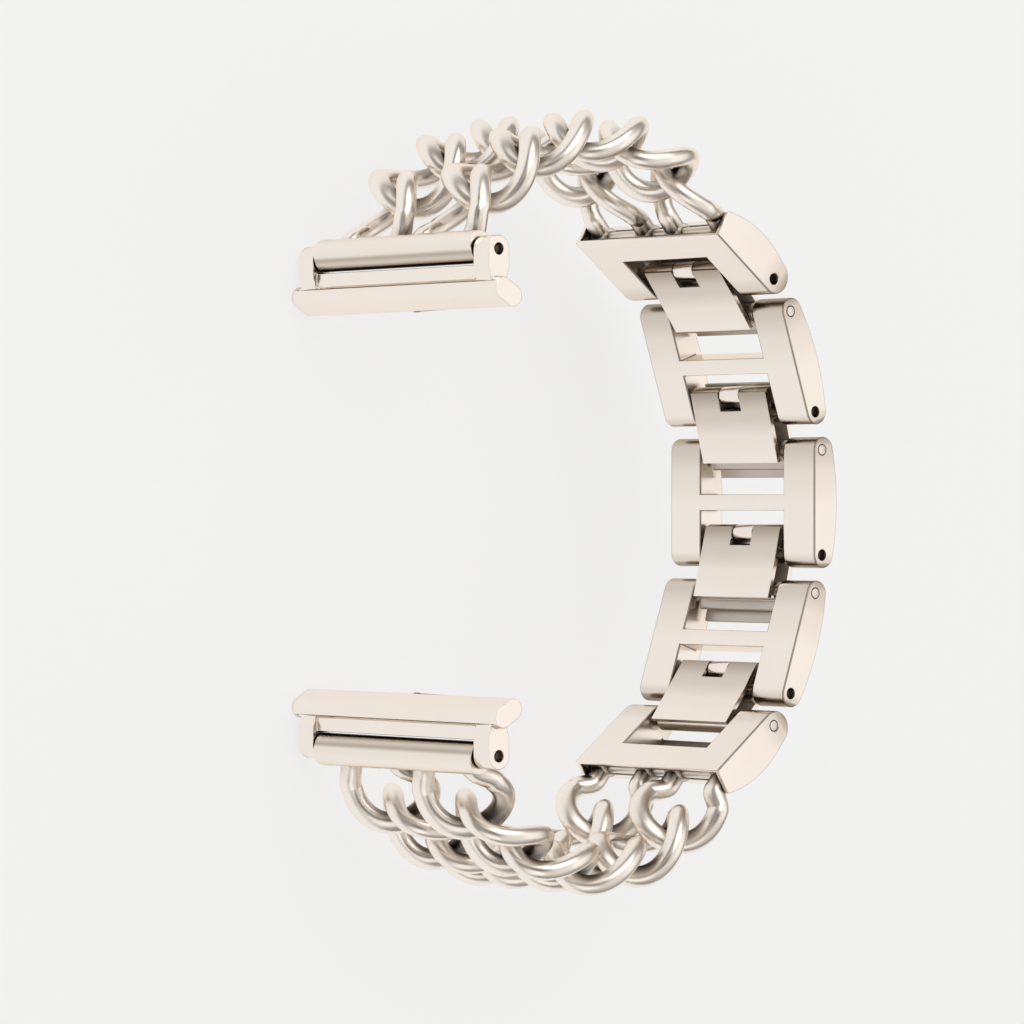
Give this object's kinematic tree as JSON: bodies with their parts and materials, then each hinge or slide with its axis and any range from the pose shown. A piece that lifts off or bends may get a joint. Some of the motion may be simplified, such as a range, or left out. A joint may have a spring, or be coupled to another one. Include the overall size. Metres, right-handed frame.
{
  "type": "chain watch band",
  "caption": "Metal watch band closed in its wrist loop: twin curb chains run from sliding lug adapters to end links, joined at the back by H-shaped links and folded centre links with lids.",
  "frame": {"origin": "centre of the loop, on the surface that the ends of the lug rails stand on", "axes": "+Z along the wrist, +Y towards the twelve o'clock adapter, +X from the watch side to the back of the loop"},
  "size_m": [0.048, 0.0734, 0.0296],
  "materials": {
    "satin_steel": "satin",
    "polished_steel": "polished",
    "pin_steel": "polished"
  },
  "bodies": {
    "adapter_upper": {"lug_adapter_upper": "satin_steel", "sleeve_upper": "polished_steel", "bar_pin_upper": "pin_steel"},
    "lock_upper": {"lock_pin_upper": "pin_steel"},
    "chain_upper_a1": {"chain_upper_a1": "polished_steel"},
    "chain_upper_a2": {"chain_upper_a2": "polished_steel"},
    "chain_upper_a3": {"chain_upper_a3": "polished_steel"},
    "chain_upper_a4": {"chain_upper_a4": "polished_steel"},
    "chain_upper_a5": {"chain_upper_a5": "polished_steel"},
    "chain_upper_a6": {"chain_upper_a6": "polished_steel"},
    "chain_upper_b1": {"chain_upper_b1": "polished_steel"},
    "chain_upper_b2": {"chain_upper_b2": "polished_steel"},
    "chain_upper_b3": {"chain_upper_b3": "polished_steel"},
    "chain_upper_b4": {"chain_upper_b4": "polished_steel"},
    "chain_upper_b5": {"chain_upper_b5": "polished_steel"},
    "chain_upper_b6": {"chain_upper_b6": "polished_steel"},
    "end_upper": {"end_link_upper": "satin_steel", "chain_pin_upper": "pin_steel", "end_pin_upper": "pin_steel"},
    "fold_1": {"fold_link_1": "satin_steel"},
    "lid_1": {"fold_lid_1": "satin_steel"},
    "outer_1": {"outer_link_1": "satin_steel", "outer_pins_1": "pin_steel"},
    "fold_2": {"fold_link_2": "satin_steel"},
    "lid_2": {"fold_lid_2": "satin_steel"},
    "outer_2": {"outer_link_2": "satin_steel", "outer_pins_2": "pin_steel"},
    "fold_3": {"fold_link_3": "satin_steel"},
    "lid_3": {"fold_lid_3": "satin_steel"},
    "outer_3": {"outer_link_3": "satin_steel", "outer_pins_3": "pin_steel"},
    "fold_4": {"fold_link_4": "satin_steel"},
    "lid_4": {"fold_lid_4": "satin_steel"},
    "end_lower": {"end_link_lower": "satin_steel", "chain_pin_lower": "pin_steel", "end_pin_lower": "pin_steel"},
    "chain_lower_a1": {"chain_lower_a1": "polished_steel"},
    "chain_lower_a2": {"chain_lower_a2": "polished_steel"},
    "chain_lower_a3": {"chain_lower_a3": "polished_steel"},
    "chain_lower_a4": {"chain_lower_a4": "polished_steel"},
    "chain_lower_a5": {"chain_lower_a5": "polished_steel"},
    "chain_lower_a6": {"chain_lower_a6": "polished_steel"},
    "chain_lower_b1": {"chain_lower_b1": "polished_steel"},
    "chain_lower_b2": {"chain_lower_b2": "polished_steel"},
    "chain_lower_b3": {"chain_lower_b3": "polished_steel"},
    "chain_lower_b4": {"chain_lower_b4": "polished_steel"},
    "chain_lower_b5": {"chain_lower_b5": "polished_steel"},
    "chain_lower_b6": {"chain_lower_b6": "polished_steel"},
    "adapter_lower": {"lug_adapter_lower": "satin_steel", "sleeve_lower": "polished_steel", "bar_pin_lower": "pin_steel"},
    "lock_lower": {"lock_pin_lower": "pin_steel"}
  },
  "joints": [
    {"name": "lug_turn_upper", "type": "hinge", "parent": "adapter_upper", "child": "chain_upper_a1", "pos_m": [-0.02255, 0.02293, 0.0148], "axis": [0, 0, -1], "range_deg": [-20, 42]},
    {"name": "lug_turn_upper_b", "type": "hinge", "parent": "adapter_upper", "child": "chain_upper_b1", "pos_m": [-0.02255, 0.02293, 0.0148], "axis": [0, 0, -1], "range_deg": [-20, 42]},
    {"name": "chain_bend_upper_1", "type": "hinge", "parent": "chain_upper_a1", "child": "chain_upper_a2", "pos_m": [-0.0181, 0.02884, 0.0148], "axis": [0, 0, 1], "range_deg": [-12, 40]},
    {"name": "chain_bend_upper_1_b", "type": "hinge", "parent": "chain_upper_b1", "child": "chain_upper_b2", "pos_m": [-0.0181, 0.02884, 0.0148], "axis": [0, 0, 1], "range_deg": [-12, 40]},
    {"name": "chain_bend_upper_2", "type": "hinge", "parent": "chain_upper_a2", "child": "chain_upper_a3", "pos_m": [-0.01271, 0.03248, 0.0148], "axis": [0, 0, -1], "range_deg": [-40, 14]},
    {"name": "chain_bend_upper_2_b", "type": "hinge", "parent": "chain_upper_b2", "child": "chain_upper_b3", "pos_m": [-0.01271, 0.03248, 0.0148], "axis": [0, 0, -1], "range_deg": [-40, 14]},
    {"name": "chain_bend_upper_3", "type": "hinge", "parent": "chain_upper_a3", "child": "chain_upper_a4", "pos_m": [-0.00646, 0.03427, 0.0148], "axis": [0, 0, 1], "range_deg": [-12, 40]},
    {"name": "chain_bend_upper_3_b", "type": "hinge", "parent": "chain_upper_b3", "child": "chain_upper_b4", "pos_m": [-0.00646, 0.03427, 0.0148], "axis": [0, 0, 1], "range_deg": [-12, 40]},
    {"name": "chain_bend_upper_4", "type": "hinge", "parent": "chain_upper_a4", "child": "chain_upper_a5", "pos_m": [0.00003, 0.03393, 0.0148], "axis": [0, 0, -1], "range_deg": [-40, 9]},
    {"name": "chain_bend_upper_4_b", "type": "hinge", "parent": "chain_upper_b4", "child": "chain_upper_b5", "pos_m": [0.00003, 0.03393, 0.0148], "axis": [0, 0, -1], "range_deg": [-40, 9]},
    {"name": "chain_bend_upper_5", "type": "hinge", "parent": "chain_upper_a5", "child": "chain_upper_a6", "pos_m": [0.00592, 0.03118, 0.0148], "axis": [0, 0, 1], "range_deg": [-8, 38]},
    {"name": "chain_bend_upper_5_b", "type": "hinge", "parent": "chain_upper_b5", "child": "chain_upper_b6", "pos_m": [0.00592, 0.03118, 0.0148], "axis": [0, 0, 1], "range_deg": [-8, 38]},
    {"name": "end_turn_upper", "type": "hinge", "parent": "chain_upper_a6", "child": "end_upper", "pos_m": [0.01038, 0.02605, 0.0148], "axis": [0, 0, -1], "range_deg": [-25, 24]},
    {"name": "end_fold_1", "type": "hinge", "parent": "end_upper", "child": "fold_1", "pos_m": [0.01547, 0.02147, 0.0148], "axis": [0, 0, 1], "range_deg": [-25, 25]},
    {"name": "fold_1_outer_1", "type": "hinge", "parent": "fold_1", "child": "outer_1", "pos_m": [0.01776, 0.01843, 0.0148], "axis": [0, 0, -1], "range_deg": [-30, 35]},
    {"name": "outer_1_fold_2", "type": "hinge", "parent": "outer_1", "child": "fold_2", "pos_m": [0.02108, 0.00879, 0.0148], "axis": [0, 0, 1], "range_deg": [-35, 30]},
    {"name": "fold_2_outer_2", "type": "hinge", "parent": "fold_2", "child": "outer_2", "pos_m": [0.022, 0.0051, 0.0148], "axis": [0, 0, -1], "range_deg": [-30, 35]},
    {"name": "outer_2_fold_3", "type": "hinge", "parent": "outer_2", "child": "fold_3", "pos_m": [0.022, -0.0051, 0.0148], "axis": [0, 0, 1], "range_deg": [-35, 30]},
    {"name": "fold_3_outer_3", "type": "hinge", "parent": "fold_3", "child": "outer_3", "pos_m": [0.02108, -0.00879, 0.0148], "axis": [0, 0, -1], "range_deg": [-30, 35]},
    {"name": "outer_3_fold_4", "type": "hinge", "parent": "outer_3", "child": "fold_4", "pos_m": [0.01776, -0.01843, 0.0148], "axis": [0, 0, 1], "range_deg": [-35, 30]},
    {"name": "fold_4_end", "type": "hinge", "parent": "fold_4", "child": "end_lower", "pos_m": [0.01547, -0.02147, 0.0148], "axis": [0, 0, -1], "range_deg": [-25, 25]},
    {"name": "end_turn_lower", "type": "hinge", "parent": "end_lower", "child": "chain_lower_a1", "pos_m": [0.01038, -0.02605, 0.0148], "axis": [0, 0, 1], "range_deg": [-24, 25]},
    {"name": "end_turn_lower_b", "type": "hinge", "parent": "end_lower", "child": "chain_lower_b1", "pos_m": [0.01038, -0.02605, 0.0148], "axis": [0, 0, 1], "range_deg": [-24, 25]},
    {"name": "chain_bend_lower_1", "type": "hinge", "parent": "chain_lower_a1", "child": "chain_lower_a2", "pos_m": [0.00592, -0.03118, 0.0148], "axis": [0, 0, -1], "range_deg": [-38, 8]},
    {"name": "chain_bend_lower_1_b", "type": "hinge", "parent": "chain_lower_b1", "child": "chain_lower_b2", "pos_m": [0.00592, -0.03118, 0.0148], "axis": [0, 0, -1], "range_deg": [-38, 8]},
    {"name": "chain_bend_lower_2", "type": "hinge", "parent": "chain_lower_a2", "child": "chain_lower_a3", "pos_m": [0.00003, -0.03393, 0.0148], "axis": [0, 0, 1], "range_deg": [-9, 40]},
    {"name": "chain_bend_lower_2_b", "type": "hinge", "parent": "chain_lower_b2", "child": "chain_lower_b3", "pos_m": [0.00003, -0.03393, 0.0148], "axis": [0, 0, 1], "range_deg": [-9, 40]},
    {"name": "chain_bend_lower_3", "type": "hinge", "parent": "chain_lower_a3", "child": "chain_lower_a4", "pos_m": [-0.00646, -0.03427, 0.0148], "axis": [0, 0, -1], "range_deg": [-40, 12]},
    {"name": "chain_bend_lower_3_b", "type": "hinge", "parent": "chain_lower_b3", "child": "chain_lower_b4", "pos_m": [-0.00646, -0.03427, 0.0148], "axis": [0, 0, -1], "range_deg": [-40, 12]},
    {"name": "chain_bend_lower_4", "type": "hinge", "parent": "chain_lower_a4", "child": "chain_lower_a5", "pos_m": [-0.01271, -0.03248, 0.0148], "axis": [0, 0, 1], "range_deg": [-14, 40]},
    {"name": "chain_bend_lower_4_b", "type": "hinge", "parent": "chain_lower_b4", "child": "chain_lower_b5", "pos_m": [-0.01271, -0.03248, 0.0148], "axis": [0, 0, 1], "range_deg": [-14, 40]},
    {"name": "chain_bend_lower_5", "type": "hinge", "parent": "chain_lower_a5", "child": "chain_lower_a6", "pos_m": [-0.0181, -0.02884, 0.0148], "axis": [0, 0, -1], "range_deg": [-40, 12]},
    {"name": "chain_bend_lower_5_b", "type": "hinge", "parent": "chain_lower_b5", "child": "chain_lower_b6", "pos_m": [-0.0181, -0.02884, 0.0148], "axis": [0, 0, -1], "range_deg": [-40, 12]},
    {"name": "lug_turn_lower", "type": "hinge", "parent": "chain_lower_a6", "child": "adapter_lower", "pos_m": [-0.02255, -0.02293, 0.0148], "axis": [0, 0, 1], "range_deg": [-42, 20]},
    {"name": "lid_1_open", "type": "hinge", "parent": "fold_1", "child": "lid_1", "pos_m": [0.01373, 0.02265, 0.0148], "axis": [0, 0, -1], "range_deg": [0, 95]},
    {"name": "lid_2_open", "type": "hinge", "parent": "fold_2", "child": "lid_2", "pos_m": [0.01994, 0.01056, 0.0148], "axis": [0, 0, -1], "range_deg": [0, 95]},
    {"name": "lid_3_open", "type": "hinge", "parent": "fold_3", "child": "lid_3", "pos_m": [0.02182, -0.00299, 0.0148], "axis": [0, 0, -1], "range_deg": [0, 95]},
    {"name": "lid_4_open", "type": "hinge", "parent": "fold_4", "child": "lid_4", "pos_m": [0.01842, -0.01642, 0.0148], "axis": [0, 0, -1], "range_deg": [0, 95]},
    {"name": "lock_press_upper", "type": "slide", "parent": "adapter_upper", "child": "lock_upper", "axis": [0.866, -0.5, 0], "range_m": [-0.0005, 0], "stiffness_N_per_m": 400},
    {"name": "lock_press_lower", "type": "slide", "parent": "adapter_lower", "child": "lock_lower", "axis": [0.866, 0.5, 0], "range_m": [-0.0005, 0], "stiffness_N_per_m": 400}
  ],
  "couplings": [
    {"joint": "lug_turn_upper_b", "follows": "lug_turn_upper", "ratio": 1},
    {"joint": "chain_bend_upper_1_b", "follows": "chain_bend_upper_1", "ratio": 1},
    {"joint": "chain_bend_upper_2_b", "follows": "chain_bend_upper_2", "ratio": 1},
    {"joint": "chain_bend_upper_3_b", "follows": "chain_bend_upper_3", "ratio": 1},
    {"joint": "chain_bend_upper_4_b", "follows": "chain_bend_upper_4", "ratio": 1},
    {"joint": "chain_bend_upper_5_b", "follows": "chain_bend_upper_5", "ratio": 1},
    {"joint": "end_turn_lower_b", "follows": "end_turn_lower", "ratio": 1},
    {"joint": "chain_bend_lower_1_b", "follows": "chain_bend_lower_1", "ratio": 1},
    {"joint": "chain_bend_lower_2_b", "follows": "chain_bend_lower_2", "ratio": 1},
    {"joint": "chain_bend_lower_3_b", "follows": "chain_bend_lower_3", "ratio": 1},
    {"joint": "chain_bend_lower_4_b", "follows": "chain_bend_lower_4", "ratio": 1},
    {"joint": "chain_bend_lower_5_b", "follows": "chain_bend_lower_5", "ratio": 1}
  ]
}
